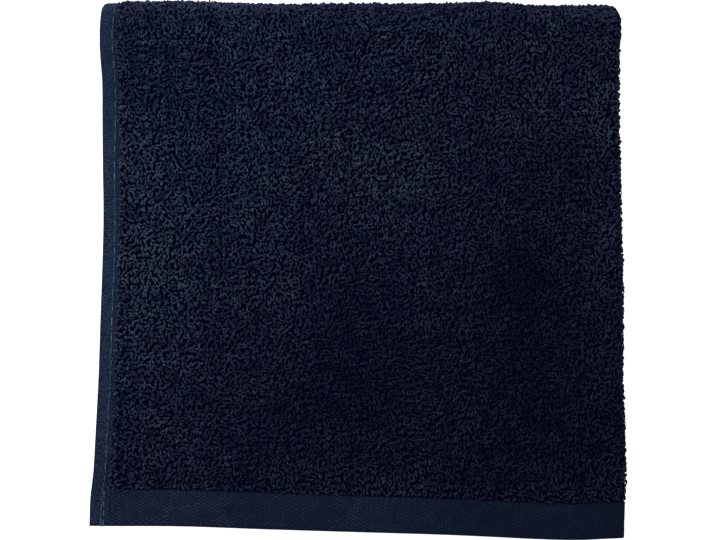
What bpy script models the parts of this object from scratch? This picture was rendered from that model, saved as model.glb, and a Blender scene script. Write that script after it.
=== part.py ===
"""A hand towel, folded in half along its length and then twice across, lying flat.

The towel is one piece of cloth. It is folded side edge to side edge, so that the fold is on the right
and both side hems are on the left. The doubled strip is then folded twice across: the back edge is
the last fold, and the front edge shows an end hem above the first cross fold. Eight plies lie on
each other. The cloth is modelled as an open sheet through the middle of the plies, and a Solidify
modifier gives it the thickness of its pile, less at the flat woven hems.

Metres. +X right, +Y to the back fold, +Z up. The origin is under the middle of the folded towel.
"""

import math
from collections import namedtuple

import bpy

NODE_NAME = "towel"

# Thickness of one ply, pile to pile, and of its flat woven hems
PLY = 0.0028
PLY_GAP = 0.0008
END_HEM_PLY = 0.0020
SIDE_HEM_PLY = 0.0016

# Widths of the hems, and of the step where the pile begins beside them
END_HEM_WIDTH = 0.0170
SIDE_HEM_WIDTH = 0.0068
PILE_STEP = 0.0010

# Two plies make a strip, and four strips make the stack
PLY_PITCH = PLY + PLY_GAP
STRIP_PITCH = 2 * PLY_PITCH
SIDE_TURN_RADIUS = PLY_PITCH / 2
SIDE_TURN_REACH = SIDE_TURN_RADIUS + PLY / 2
CROSS_TURN_RADIUS = STRIP_PITCH / 2
CROSS_TURN_REACH = CROSS_TURN_RADIUS + SIDE_TURN_REACH
OUTER_TURN_RADIUS = 3 * CROSS_TURN_RADIUS
OUTER_TURN_REACH = OUTER_TURN_RADIUS + SIDE_TURN_REACH
STACK_HEIGHT = 4 * STRIP_PITCH - PLY_GAP

# How far the corners of the outer back fold are drawn in
BACK_LEFT_TUCK = 0.0012
BACK_RIGHT_TUCK = 0.0022
TUCK_SHARPNESS = 8

# Outline seen from above: the side edges at stations from back to front
SideEdges = namedtuple("SideEdges", "y left right")
SIDE_EDGES = (
    SideEdges(y=0.120, left=-0.1231, right=0.1260),
    SideEdges(y=0.105, left=-0.1231, right=0.1253),
    SideEdges(y=0.090, left=-0.1219, right=0.1250),
    SideEdges(y=0.075, left=-0.1218, right=0.1250),
    SideEdges(y=0.050, left=-0.1216, right=0.1256),
    SideEdges(y=0.025, left=-0.1213, right=0.1261),
    SideEdges(y=0.000, left=-0.1219, right=0.1268),
    SideEdges(y=-0.025, left=-0.1228, right=0.1271),
    SideEdges(y=-0.050, left=-0.1236, right=0.1270),
    SideEdges(y=-0.075, left=-0.1249, right=0.1279),
    SideEdges(y=-0.100, left=-0.1264, right=0.1282),
    SideEdges(y=-0.107, left=-0.1275, right=0.1279),
    SideEdges(y=-0.122, left=-0.1281, right=0.1274),
)

# Outline seen from above: the front hem and the back fold at stations from left to right
EndEdges = namedtuple("EndEdges", "x front back")
END_EDGES = (
    EndEdges(x=-0.122, front=-0.1221, back=0.1284),
    EndEdges(x=-0.085, front=-0.1222, back=0.1288),
    EndEdges(x=-0.045, front=-0.1236, back=0.1275),
    EndEdges(x=0.000, front=-0.1250, back=0.1277),
    EndEdges(x=0.040, front=-0.1262, back=0.1278),
    EndEdges(x=0.065, front=-0.1273, back=0.1284),
    EndEdges(x=0.085, front=-0.1283, back=0.1268),
    EndEdges(x=0.105, front=-0.1288, back=0.1269),
    EndEdges(x=0.122, front=-0.1279, back=0.1270),
)

# The four runs of the doubled strip, in order along the cloth from the end hem that shows.
# level counts strips up from the floor, and a hemmed run has an end hem at the front. The insets say
# how far each edge lies inside the outline.
Run = namedtuple("Run", "level hemmed front outer_left inner_left right")
RUNS = (
    Run(level=3, hemmed=True, front=0.0000, outer_left=0.0000, inner_left=0.0012, right=0.0000),
    Run(level=0, hemmed=False, front=0.0030, outer_left=0.0016, inner_left=0.0006, right=0.0013),
    Run(level=1, hemmed=False, front=0.0030, outer_left=0.0024, inner_left=0.0009, right=0.0019),
    Run(level=2, hemmed=True, front=0.0031, outer_left=0.0007, inner_left=0.0020, right=0.0007),
)

# Soft swells and hollows of the stack: where, how far they reach, and how much they lift its top
Swell = namedtuple("Swell", "x y reach_x reach_y turn_deg lift")
SWELLS = (
    Swell(x=-0.085, y=0.070, reach_x=0.060, reach_y=0.050, turn_deg=20, lift=0.0012),
    Swell(x=-0.015, y=0.020, reach_x=0.095, reach_y=0.038, turn_deg=-50, lift=-0.0016),
    Swell(x=0.075, y=0.065, reach_x=0.055, reach_y=0.070, turn_deg=10, lift=0.0010),
    Swell(x=0.030, y=-0.070, reach_x=0.070, reach_y=0.045, turn_deg=15, lift=0.0009),
    Swell(x=-0.095, y=-0.060, reach_x=0.045, reach_y=0.060, turn_deg=-15, lift=0.0010),
)

# The thin hems settle on each other, so the stack drops towards them
SIDE_HEM_SAG = 0.0016
END_HEM_SAG = 0.0012
SIDE_SAG_REACH = 0.012
END_SAG_REACH = 0.026

# The pad stands on its corners: the underside is a little hollow between them
UNDERSIDE_HOLLOW = 0.0001
HOLLOW_REACH = 0.125

# Steps of the mesh
STEPS_ACROSS_PLY = 9
STEPS_ALONG_RUN = 10
STEPS_SIDE_TURN = 8
STEPS_CROSS_TURN = 8
STEPS_OUTER_TURN = 14

TOWEL_COLOUR = (0.012, 0.018, 0.042, 1.0)
TOWEL_ROUGHNESS = 0.95

# Edges sharper than this, such as the hems' rims, are not shaded smooth
SHARP_ANGLE = math.radians(40)

# A place across the ply: share of its width, arc angle in the side turn, and its thickness there
Across = namedtuple("Across", "hem share angle thickness")
# A place along the strip: share of its run, centre line, its normal, turn angle and thickness there
Along = namedtuple("Along", "first second mix hem share y_off z normal_y normal_z tuck thickness")


def smooth_between(rows, column, key, at):
    """The value of a table's column at a place between its rows, on a smooth curve through them."""
    rows = sorted(rows, key=lambda row: getattr(row, key))
    places = [getattr(row, key) for row in rows]
    values = [getattr(row, column) for row in rows]
    if at <= places[0]:
        return values[0]
    if at >= places[-1]:
        return values[-1]
    i = max(k for k, place in enumerate(places) if place <= at)
    step = places[i + 1] - places[i]
    share = (at - places[i]) / step

    def slope(k):
        low, high = max(k - 1, 0), min(k + 1, len(rows) - 1)
        return (values[high] - values[low]) / (places[high] - places[low])

    start, end = values[i], values[i + 1]
    rise = end - start
    in_slope, out_slope = slope(i) * step, slope(i + 1) * step
    curve = 3 * rise - 2 * in_slope - out_slope
    bend = in_slope + out_slope - 2 * rise
    return start + share * (in_slope + share * (curve + share * bend))


def evenly(count):
    """Shares from 0 to 1 in that many steps."""
    return [step / count for step in range(count + 1)]


def stations_across():
    """Places from the outer ply's side hem, round the side fold, to the inner ply's side hem."""
    ply = [
        Across(hem=0.0, share=None, angle=0.0, thickness=SIDE_HEM_PLY),
        Across(hem=SIDE_HEM_WIDTH, share=None, angle=0.0, thickness=SIDE_HEM_PLY),
    ]
    ply += [
        Across(hem=None, share=share, angle=0.0, thickness=PLY)
        for share in evenly(STEPS_ACROSS_PLY)
    ]
    turn = [
        Across(hem=None, share=1.0, angle=math.pi * share, thickness=PLY)
        for share in evenly(STEPS_SIDE_TURN)[1:-1]
    ]
    far_ply = [place._replace(angle=math.pi) for place in reversed(ply)]
    return ply + turn + far_ply


def run_stations(run_index, towards_back):
    """Places along one run of the strip, between its front edge and the start of the back turn."""
    run = RUNS[run_index]
    middle = (run.level + 0.5) * STRIP_PITCH - PLY_GAP / 2
    facing = 1.0 if towards_back else -1.0
    base = Along(
        first=run_index, second=run_index, mix=0.0, hem=None, share=None, y_off=0.0,
        z=middle, normal_y=0.0, normal_z=facing, tuck=0.0, thickness=PLY,
    )
    places = [base._replace(share=share) for share in evenly(STEPS_ALONG_RUN)]
    if run.hemmed:
        hem = [
            base._replace(hem=0.0, thickness=END_HEM_PLY),
            base._replace(hem=END_HEM_WIDTH, thickness=END_HEM_PLY),
        ]
        places = hem + places
    return places if towards_back else places[::-1]


def turn_stations(first, second, radius, steps, at_back):
    """Places round a cross fold, between the runs first and second."""
    low_level = min(RUNS[first].level, RUNS[second].level)
    start = 1.0 if RUNS[first].level > RUNS[second].level else -1.0
    outward = 1.0 if at_back else -1.0
    bottom = (low_level + 0.5) * STRIP_PITCH - PLY_GAP / 2
    # The strip's marked face is outside the turn, except where the inner back fold curls onto it
    marked_face = 1.0 if (start > 0) == at_back else -1.0
    places = []
    for share in evenly(steps)[1:-1]:
        angle = math.pi * share
        across, up = math.sin(angle) * outward, math.cos(angle) * start
        places.append(
            Along(
                first=first, second=second, mix=share, hem=None,
                share=1.0 if at_back else 0.0,
                y_off=radius * across, z=bottom + radius + radius * up,
                normal_y=across * marked_face, normal_z=up * marked_face,
                tuck=math.sin(angle) ** TUCK_SHARPNESS if radius > CROSS_TURN_RADIUS else 0.0,
                thickness=PLY,
            )
        )
    return places


def stations_along():
    """Places along the doubled strip, from the end hem that shows to the hidden one."""
    return (
        run_stations(0, towards_back=True)
        + turn_stations(0, 1, OUTER_TURN_RADIUS, STEPS_OUTER_TURN, at_back=True)
        + run_stations(1, towards_back=False)
        + turn_stations(1, 2, CROSS_TURN_RADIUS, STEPS_CROSS_TURN, at_back=False)
        + run_stations(2, towards_back=True)
        + turn_stations(2, 3, CROSS_TURN_RADIUS, STEPS_CROSS_TURN, at_back=True)
        + run_stations(3, towards_back=False)
    )


def inset(along, column):
    """How far an edge lies inside the outline at this place along the strip."""
    first = getattr(RUNS[along.first], column)
    second = getattr(RUNS[along.second], column)
    return first + (second - first) * along.mix


def place_along(along, x):
    """The strip's distance to the back at this place, for a point x to the right."""
    back = smooth_between(END_EDGES, "back", "x", x) - OUTER_TURN_REACH
    front = smooth_between(END_EDGES, "front", "x", x) + inset(along, "front")
    if along.hem is not None:
        return front + along.hem
    beside_hem = RUNS[along.first].hemmed and along.first == along.second
    start = front + (END_HEM_WIDTH + PILE_STEP if beside_hem else CROSS_TURN_REACH)
    return start + (back - start) * along.share + along.y_off


def place_across(across, along, y):
    """The ply's distance to the right at this place, for a point y to the back."""
    ply = "outer_left" if across.angle < math.pi / 2 else "inner_left"
    left = smooth_between(SIDE_EDGES, "left", "y", y) + inset(along, ply)
    left += BACK_LEFT_TUCK * along.tuck
    right = smooth_between(SIDE_EDGES, "right", "y", y) - inset(along, "right")
    right -= BACK_RIGHT_TUCK * along.tuck + SIDE_TURN_REACH
    if across.hem is not None:
        return left + across.hem
    start = left + SIDE_HEM_WIDTH + PILE_STEP
    return start + (right - start) * across.share + SIDE_TURN_RADIUS * math.sin(across.angle)


def cloth_point(across, along):
    """A point of the sheet through the middle of the plies, before the stack settles."""
    off_strip = SIDE_TURN_RADIUS * math.cos(across.angle)
    x = place_across(across, along, 0.0)
    y = place_along(along, x)
    x = place_across(across, along, y)
    y = place_along(along, x) + along.normal_y * off_strip
    return x, y, along.z + along.normal_z * off_strip


def soft_step(share):
    """0 below 0, 1 above 1, and a smooth rise between."""
    share = min(max(share, 0.0), 1.0)
    return share * share * (3 - 2 * share)


def settled_height(x, y):
    """The height of the stack at this place, as a share of its height at full loft."""
    lift = 0.0
    for swell in SWELLS:
        turn = math.radians(swell.turn_deg)
        dx, dy = x - swell.x, y - swell.y
        along_x = (dx * math.cos(turn) + dy * math.sin(turn)) / swell.reach_x
        along_y = (dy * math.cos(turn) - dx * math.sin(turn)) / swell.reach_y
        lift += swell.lift * math.exp(-(along_x**2 + along_y**2))
    from_left = x - smooth_between(SIDE_EDGES, "left", "y", y)
    from_front = y - smooth_between(END_EDGES, "front", "x", x)
    lift -= SIDE_HEM_SAG * soft_step(1 - from_left / SIDE_SAG_REACH)
    lift -= END_HEM_SAG * soft_step(1 - from_front / END_SAG_REACH)
    return 1 + lift / STACK_HEIGHT


def hollow_under(x, y):
    """How far the underside is off the floor at this place, most between the corners."""
    near_corner = (x / HOLLOW_REACH) ** 2 * (y / HOLLOW_REACH) ** 2
    return UNDERSIDE_HOLLOW * (1 - min(near_corner, 1.0))


def cloth_sheet():
    """The open sheet: a grid whose points are laid along the folds, with its thickness in a group."""
    across, along = stations_across(), stations_along()
    bpy.ops.mesh.primitive_grid_add(
        x_subdivisions=len(across) - 1, y_subdivisions=len(along) - 1, size=2
    )
    sheet = bpy.context.object
    thickness = sheet.vertex_groups.new(name="thickness")
    for vertex in sheet.data.vertices:
        i = round((vertex.co.x + 1) / 2 * (len(across) - 1))
        j = round((vertex.co.y + 1) / 2 * (len(along) - 1))
        share = min(across[i].thickness, along[j].thickness) / PLY
        thickness.add([vertex.index], share, "REPLACE")
        vertex.co = cloth_point(across[i], along[j])
    return sheet


def thickened(sheet):
    """The sheet with the thickness of its plies, as a plain mesh object."""
    solidify = sheet.modifiers.new("ply", "SOLIDIFY")
    solidify.thickness = PLY
    solidify.offset = 0.0
    solidify.use_even_offset = False
    solidify.vertex_group = "thickness"
    graph = bpy.context.evaluated_depsgraph_get()
    mesh = bpy.data.meshes.new_from_object(sheet.evaluated_get(graph))
    bpy.data.objects.remove(sheet)
    return bpy.data.objects.new(NODE_NAME, mesh)


def settle(towel):
    """Lets the stack settle, and puts the middle of its footprint at the origin."""
    points = [vertex.co for vertex in towel.data.vertices]
    for point in points:
        hollow = hollow_under(point.x, point.y) * (1 - point.z / STACK_HEIGHT)
        point.z = point.z * settled_height(point.x, point.y) + hollow
    middle_x = (min(p.x for p in points) + max(p.x for p in points)) / 2
    middle_y = (min(p.y for p in points) + max(p.y for p in points)) / 2
    floor = min(p.z for p in points)
    for point in points:
        point.x -= middle_x
        point.y -= middle_y
        point.z -= floor


def towel_material():
    material = bpy.data.materials.new("navy_terry")
    material.use_nodes = True
    shader = material.node_tree.nodes["Principled BSDF"]
    shader.inputs["Base Color"].default_value = TOWEL_COLOUR
    shader.inputs["Roughness"].default_value = TOWEL_ROUGHNESS
    shader.inputs["Metallic"].default_value = 0.0
    return material


def main():
    for old in list(bpy.data.objects):
        bpy.data.objects.remove(old)
    parts = bpy.data.collections.new("hand_towel")
    bpy.context.scene.collection.children.link(parts)
    towel = thickened(cloth_sheet())
    parts.objects.link(towel)
    settle(towel)
    towel.data.materials.append(towel_material())
    towel.data.shade_smooth()
    towel.data.set_sharp_from_angle(angle=SHARP_ANGLE)


main()
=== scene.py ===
"""Looks of a navy terry hand towel that is folded to a square pad.

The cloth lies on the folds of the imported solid: side edge to side edge with the fold on the right, then
twice across. Everything is placed in the cloth's own coordinates: s runs across it from the side hem
that shows, t runs along it from the end hem that shows, and out is away from its face. Metres.
"""

import math
from collections import defaultdict, namedtuple

import bpy
import numpy as np
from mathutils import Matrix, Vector


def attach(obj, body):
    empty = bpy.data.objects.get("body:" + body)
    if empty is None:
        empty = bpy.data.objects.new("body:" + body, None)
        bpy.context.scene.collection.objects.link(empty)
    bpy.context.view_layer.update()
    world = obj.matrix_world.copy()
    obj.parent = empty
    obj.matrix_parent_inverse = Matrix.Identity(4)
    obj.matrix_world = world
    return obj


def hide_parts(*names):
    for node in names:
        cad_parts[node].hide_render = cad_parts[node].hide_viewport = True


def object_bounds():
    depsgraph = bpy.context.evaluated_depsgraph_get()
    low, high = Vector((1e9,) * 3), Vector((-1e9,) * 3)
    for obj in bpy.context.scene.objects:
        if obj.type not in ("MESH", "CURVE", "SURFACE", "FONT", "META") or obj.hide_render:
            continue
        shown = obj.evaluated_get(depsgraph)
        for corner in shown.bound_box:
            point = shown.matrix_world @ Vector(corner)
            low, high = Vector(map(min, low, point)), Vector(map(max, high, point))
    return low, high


bl_info = {
    "name": "Folded terry hand towel",
    "version": (1, 0, 0),
    "blender": (4, 5, 0),
    "location": "View3D > Sidebar > Towel",
    "description": "Ground cloth, hems, sewing and loop pile of a folded hand towel",
    "category": "Object",
}

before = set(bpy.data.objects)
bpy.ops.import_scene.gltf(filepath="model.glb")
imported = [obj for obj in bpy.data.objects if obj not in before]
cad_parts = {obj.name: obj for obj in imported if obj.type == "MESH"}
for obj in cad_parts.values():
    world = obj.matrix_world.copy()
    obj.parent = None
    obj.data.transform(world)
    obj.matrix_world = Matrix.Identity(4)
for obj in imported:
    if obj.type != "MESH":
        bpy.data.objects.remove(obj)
CAD_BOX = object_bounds()
NODE = "towel"
BODY = "root"

# The size that the towel was cut to, and its folds, as the solid has them
PLY = 0.0028
PLY_GAP = 0.0008
PLY_PITCH = PLY + PLY_GAP
STRIP_PITCH = 2 * PLY_PITCH
SIDE_TURN_RADIUS = PLY_PITCH / 2
SIDE_TURN_REACH = SIDE_TURN_RADIUS + PLY / 2
CROSS_TURN_RADIUS = STRIP_PITCH / 2
CROSS_TURN_REACH = CROSS_TURN_RADIUS + SIDE_TURN_REACH
OUTER_TURN_RADIUS = 3 * CROSS_TURN_RADIUS
OUTER_TURN_REACH = OUTER_TURN_RADIUS + SIDE_TURN_REACH
STACK_HEIGHT = 4 * STRIP_PITCH - PLY_GAP

# How far the corners of the back fold are drawn in
BACK_LEFT_TUCK = 0.0012
BACK_RIGHT_TUCK = 0.0022
TUCK_SHARPNESS = 8

# Flat woven hems, with the step to the pile
END_HEM = 0.0180
SIDE_HEM = 0.0078

# Nominal lengths of the pile between the hems and the folds
PLY_RUN = 0.2390
HEMMED_RUN = 0.2208
PLAIN_RUN = 0.2298


def table(columns, *rows):
    """Rows with named columns."""
    kind = namedtuple("Row", columns)
    return [kind(*row) for row in rows]


# Outline seen from above: the side edges, and then the front hem and the back fold
SIDE_EDGES = table(
    "y left right",
    (0.120, -0.1231, 0.1260),
    (0.105, -0.1231, 0.1253),
    (0.090, -0.1219, 0.1250),
    (0.075, -0.1218, 0.1250),
    (0.050, -0.1216, 0.1256),
    (0.025, -0.1213, 0.1261),
    (0.000, -0.1219, 0.1268),
    (-0.025, -0.1228, 0.1271),
    (-0.050, -0.1236, 0.1270),
    (-0.075, -0.1249, 0.1279),
    (-0.100, -0.1264, 0.1282),
    (-0.107, -0.1275, 0.1279),
    (-0.122, -0.1281, 0.1274),
)

END_EDGES = table(
    "x front back",
    (-0.122, -0.1221, 0.1284),
    (-0.085, -0.1222, 0.1288),
    (-0.045, -0.1236, 0.1275),
    (0.000, -0.1250, 0.1277),
    (0.040, -0.1262, 0.1278),
    (0.065, -0.1273, 0.1284),
    (0.085, -0.1283, 0.1268),
    (0.105, -0.1288, 0.1269),
    (0.122, -0.1279, 0.1270),
)

# The four runs of the doubled strip: level counts up from the floor, and the others say how far each
# edge lies inside the outline
RUNS = table(
    "level front outer_left inner_left right",
    (3, 0.0000, 0.0000, 0.0012, 0.0000),
    (0, 0.0030, 0.0016, 0.0006, 0.0013),
    (1, 0.0030, 0.0024, 0.0009, 0.0019),
    (2, 0.0031, 0.0007, 0.0020, 0.0007),
)

# Stretches of the doubled strip, in order from the end hem that shows. first and second are its runs,
# start and end give the share of the way to the back, and a turn has a radius.
STRETCHES = table(
    "name first second start end radius length hem",
    ("shown_hem", 0, 0, 0, 0, 0, END_HEM, True),
    ("top", 0, 0, 0, 1, 0, HEMMED_RUN, True),
    ("back_fold", 0, 1, 1, 1, OUTER_TURN_RADIUS, math.pi * OUTER_TURN_RADIUS, False),
    ("under", 1, 1, 1, 0, 0, PLAIN_RUN, False),
    ("front_fold", 1, 2, 0, 0, CROSS_TURN_RADIUS, math.pi * CROSS_TURN_RADIUS, False),
    ("inside_low", 2, 2, 0, 1, 0, PLAIN_RUN, False),
    ("inner_fold", 2, 3, 1, 1, CROSS_TURN_RADIUS, math.pi * CROSS_TURN_RADIUS, False),
    ("inside_high", 3, 3, 1, 0, 0, HEMMED_RUN, True),
    ("hidden_hem", 3, 3, 0, 0, 0, END_HEM, True),
)
CLOTH_LENGTH = sum(stretch.length for stretch in STRETCHES)
CLOTH_MIDDLE = SIDE_HEM + PLY_RUN + SIDE_TURN_RADIUS * math.pi / 2
CLOTH_WIDTH = 2 * CLOTH_MIDDLE

# Soft swells and hollows of the whole stack, and how far it sags to its thin hems
SWELL = "x y reach_x reach_y turn_deg lift"
SWELLS = table(
    SWELL,
    (-0.085, 0.070, 0.060, 0.050, 20, 0.0012),
    (-0.015, 0.020, 0.095, 0.038, -50, -0.0016),
    (0.075, 0.065, 0.055, 0.070, 10, 0.0010),
    (0.030, -0.070, 0.070, 0.045, 15, 0.0009),
    (-0.095, -0.060, 0.045, 0.060, -15, 0.0010),
)
SIDE_HEM_SAG = 0.0016
END_HEM_SAG = 0.0012
SIDE_SAG_REACH = 0.012
END_SAG_REACH = 0.026

# Soft troughs and ridges of the top ply alone
CREASES = table(
    SWELL,
    (-0.0838, -0.0580, 0.0040, 0.0050, 0, -0.0009),
    (-0.0450, 0.0300, 0.0500, 0.0060, -52, -0.0004),
    (0.0300, 0.0500, 0.0450, 0.0070, 38, -0.0004),
    (-0.0600, 0.0900, 0.0350, 0.0060, -35, 0.0004),
    (0.0800, -0.0300, 0.0400, 0.0070, -60, 0.0003),
)


# ---- the cloth on its folds

# Slack at a stretch's ends, places measured along a hem's edge, and the step for directions
TOLERANCE = 1e-9
EDGE_PLACES = 2000
FRAME_STEP = 0.0003


def table_curve(rows, column, key, at):
    """A table's column at places between its rows, on a smooth curve through them."""
    rows = sorted(rows, key=lambda row: getattr(row, key))
    places, values = (np.array([getattr(row, name) for row in rows]) for name in (key, column))
    low = np.maximum(np.arange(len(rows)) - 1, 0)
    high = np.minimum(np.arange(len(rows)) + 1, len(rows) - 1)
    slopes = (values[high] - values[low]) / (places[high] - places[low])
    at = np.clip(at, places[0], places[-1])
    i = np.clip(np.searchsorted(places, at, side="right") - 1, 0, len(rows) - 2)
    step = places[i + 1] - places[i]
    share = (at - places[i]) / step
    rise = values[i + 1] - values[i]
    slope_in, slope_out = slopes[i] * step, slopes[i + 1] * step
    bend = slope_in + slope_out - 2 * rise
    curve = rise - slope_in - bend
    return values[i] + share * (slope_in + share * (curve + share * bend))


def soft_step(share):
    """0 below 0, 1 above 1, and a smooth rise between."""
    share = np.clip(share, 0, 1)
    return share * share * (3 - 2 * share)


def swelling(swells, x, y):
    """How far a table of swells and hollows lifts the cloth at each place."""
    lift = np.zeros_like(x)
    for swell in swells:
        turn = math.radians(swell.turn_deg)
        dx, dy = x - swell.x, y - swell.y
        along_x = (dx * math.cos(turn) + dy * math.sin(turn)) / swell.reach_x
        along_y = (dy * math.cos(turn) - dx * math.sin(turn)) / swell.reach_y
        lift += swell.lift * np.exp(-(along_x**2 + along_y**2))
    return lift


def settled_height(x, y):
    """The height of the stack at each place, as a share of its height at full loft."""
    lift = swelling(SWELLS, x, y)
    from_left = x - table_curve(SIDE_EDGES, "left", "y", y)
    from_front = y - table_curve(END_EDGES, "front", "x", x)
    lift -= SIDE_HEM_SAG * soft_step(1 - from_left / SIDE_SAG_REACH)
    lift -= END_HEM_SAG * soft_step(1 - from_front / END_SAG_REACH)
    return 1 + lift / STACK_HEIGHT


def stretches():
    """Each stretch of the strip, and where it begins along the cloth."""
    begin = 0.0
    for stretch in STRETCHES:
        yield stretch, begin
        begin += stretch.length


def level_middle(run):
    return (RUNS[run].level + 0.5) * STRIP_PITCH - PLY_GAP / 2


def strip_line(t):
    """The doubled strip's centre line at distances t along the cloth, as a dict of arrays."""
    line = defaultdict(lambda: np.zeros_like(t))
    for stretch, begin in stretches():
        here = (t >= begin - TOLERANCE) & (t <= begin + stretch.length + TOLERANCE)
        done = np.clip((t[here] - begin) / stretch.length, 0, 1)
        first, second = RUNS[stretch.first], RUNS[stretch.second]
        for edge, low, high in zip(first._fields[1:], first[1:], second[1:]):
            line[edge][here] = low + (high - low) * done
        hem_side = done if stretch.name == "shown_hem" else 1 - done
        in_hem = stretch.length == END_HEM
        reach = END_HEM * (hem_side if in_hem else 1) if stretch.hem else CROSS_TURN_REACH
        line["reach"][here] = reach
        line["share"][here] = stretch.start + (stretch.end - stretch.start) * done
        if stretch.radius:
            downwards = 1 if first.level > second.level else -1
            at_back = stretch.start == 1
            outward = 1 if at_back else -1
            face = 1 if (downwards > 0) == at_back else -1
            across = np.sin(math.pi * done) * outward
            up = np.cos(math.pi * done) * downwards
            low_run = stretch.second if downwards > 0 else stretch.first
            line["bulge"][here] = stretch.radius * across
            line["z"][here] = level_middle(low_run) + stretch.radius * (1 + up)
            line["face_y"][here] = across * face
            line["face_z"][here] = up * face
            if stretch.radius == OUTER_TURN_RADIUS:
                line["tuck"][here] = across**TUCK_SHARPNESS
        else:
            line["z"][here] = level_middle(stretch.first)
            line["face_z"][here] = 1 if stretch.first in (0, 2) else -1
            line["top"][here] = stretch.first == 0
    return line


def lay(s, t):
    """Points of the middle of the cloth on its folds, at distances s across and t along it."""
    s, t = np.clip(s, 0, CLOTH_WIDTH), np.clip(t, 0, CLOTH_LENGTH)
    folded_under = s > CLOTH_MIDDLE
    edge = np.minimum(s, CLOTH_WIDTH - s)
    hem = np.minimum(edge, SIDE_HEM)
    share = np.clip((edge - SIDE_HEM) / PLY_RUN, 0, 1)
    angle = np.maximum(edge - SIDE_HEM - PLY_RUN, 0) / SIDE_TURN_RADIUS
    angle = np.where(folded_under, math.pi - angle, angle)
    line = strip_line(t)

    def across(y):
        left = table_curve(SIDE_EDGES, "left", "y", y)
        left = left + np.where(folded_under, line["inner_left"], line["outer_left"])
        left = left + BACK_LEFT_TUCK * line["tuck"]
        right = table_curve(SIDE_EDGES, "right", "y", y) - line["right"]
        right = right - BACK_RIGHT_TUCK * line["tuck"] - SIDE_TURN_REACH
        start = left + SIDE_HEM
        return left + hem + (right - start) * share + SIDE_TURN_RADIUS * np.sin(angle)

    def along(x):
        back = table_curve(END_EDGES, "back", "x", x) - OUTER_TURN_REACH
        start = table_curve(END_EDGES, "front", "x", x) + line["front"] + line["reach"]
        return start + (back - start) * line["share"] + line["bulge"]

    x = across(along(across(np.zeros_like(s))))
    off_strip = SIDE_TURN_RADIUS * np.cos(angle)
    y = along(x) + line["face_y"] * off_strip
    z = (line["z"] + line["face_z"] * off_strip) * settled_height(x, y)
    z = z + swelling(CREASES, x, y) * line["top"] * ~folded_under
    return np.stack([x, y, z], -1)


def cloth_shift():
    """From the tables' coordinates to the frame's: the solid's low corner is at the hems' edges."""
    rim_t = np.linspace(0, CLOTH_LENGTH, EDGE_PLACES)
    rim_s = np.linspace(0, CLOTH_WIDTH, EDGE_PLACES // 2)
    side = lay(np.zeros_like(rim_t), rim_t)
    end = lay(rim_s, np.zeros_like(rim_s))
    low = Vector(CAD_BOX[0])
    return np.array([low.x - side[:, 0].min(), low.y - end[:, 1].min(), 0.0])


SHIFT = cloth_shift()


def unit(vectors):
    return vectors / np.linalg.norm(vectors, axis=-1, keepdims=True)


def cloth_frame(s, t):
    """Points of the middle of the cloth, with its unit directions across, along and out."""
    across = unit(lay(s + FRAME_STEP, t) - lay(s - FRAME_STEP, t))
    along = lay(s, t + FRAME_STEP) - lay(s, t - FRAME_STEP)
    out = unit(np.cross(across, along))
    return lay(s, t) + SHIFT, across, np.cross(out, across), out


def turned(across, along, angle):
    """The directions ahead and beside, at angles from the crosswise direction."""
    angle = np.broadcast_to(angle, len(across))[:, None]
    cos, sin = np.cos(angle), np.sin(angle)
    return across * cos + along * sin, along * cos - across * sin


# ---- sizes and colours to change


def measure(name, description, default, unit="LENGTH"):
    """A number that is never negative: a length, unless its unit says otherwise."""
    return bpy.props.FloatProperty(
        name=name, description=description, default=default, min=0.0, unit=unit, precision=5
    )


def colour_property(name, description, default):
    return bpy.props.FloatVectorProperty(
        name=name, description=description, default=default, size=3, min=0.0, max=1.0, subtype="COLOR"
    )


class TowelClothSettings(bpy.types.PropertyGroup):
    """Sizes of the ground cloth, its hems and its sewing."""

    ground: measure("Ground cloth", "Thickness of the weave that holds the pile", 0.0009)
    end_hem: measure("End hem", "Thickness of the folded end hems", 0.0020)
    side_hem: measure("Side hem", "Thickness of the folded side hems", 0.0016)
    diamond_width: measure("Diamond width", "Width of the woven diamonds", 0.00317)
    diamond_height: measure("Diamond height", "Height of the woven diamonds", 0.00175)
    float_length: measure("Float", "Length of the raised yarn of one diamond", 0.0023)
    float_yarn: measure("Float yarn", "Thickness of the raised yarns", 0.00075)
    weft_width: measure("Weft width", "Distance between the side hem's floats", 0.00135)
    weft_height: measure("Weft height", "Distance between its rows of floats", 0.00095)
    weft_float: measure("Weft float", "Length of one float of the side hem", 0.0014)
    weft_yarn: measure("Weft yarn", "Thickness of the side hem's floats", 0.0006)
    welt: measure("Welt", "Thickness of the pale yarn under the stitches", 0.0008)
    stitch: measure("Stitch", "Length of one stitch", 0.0045)
    stitch_gap: measure("Stitch gap", "Gap between two stitches", 0.0024)
    thread: measure("Thread", "Thickness of the sewing thread", 0.0006)


class TowelPileSettings(bpy.types.PropertyGroup):
    """Sizes of the loops."""

    pitch: measure("Pitch", "Distance between loops on the faces that show", 0.00158)
    under_pitch: measure("Underside pitch", "Distance between loops underneath", 0.0026)
    yarn: measure("Yarn", "Thickness of a loop's yarn", 0.00112)
    clump: measure("Clumps", "Distance between clumps of loops", 0.0036)
    gather: measure("Gather", "How far loops lean together in a clump", 0.00028)
    seed: bpy.props.IntProperty(name="Seed", description="Start of the random draws", default=7)


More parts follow.
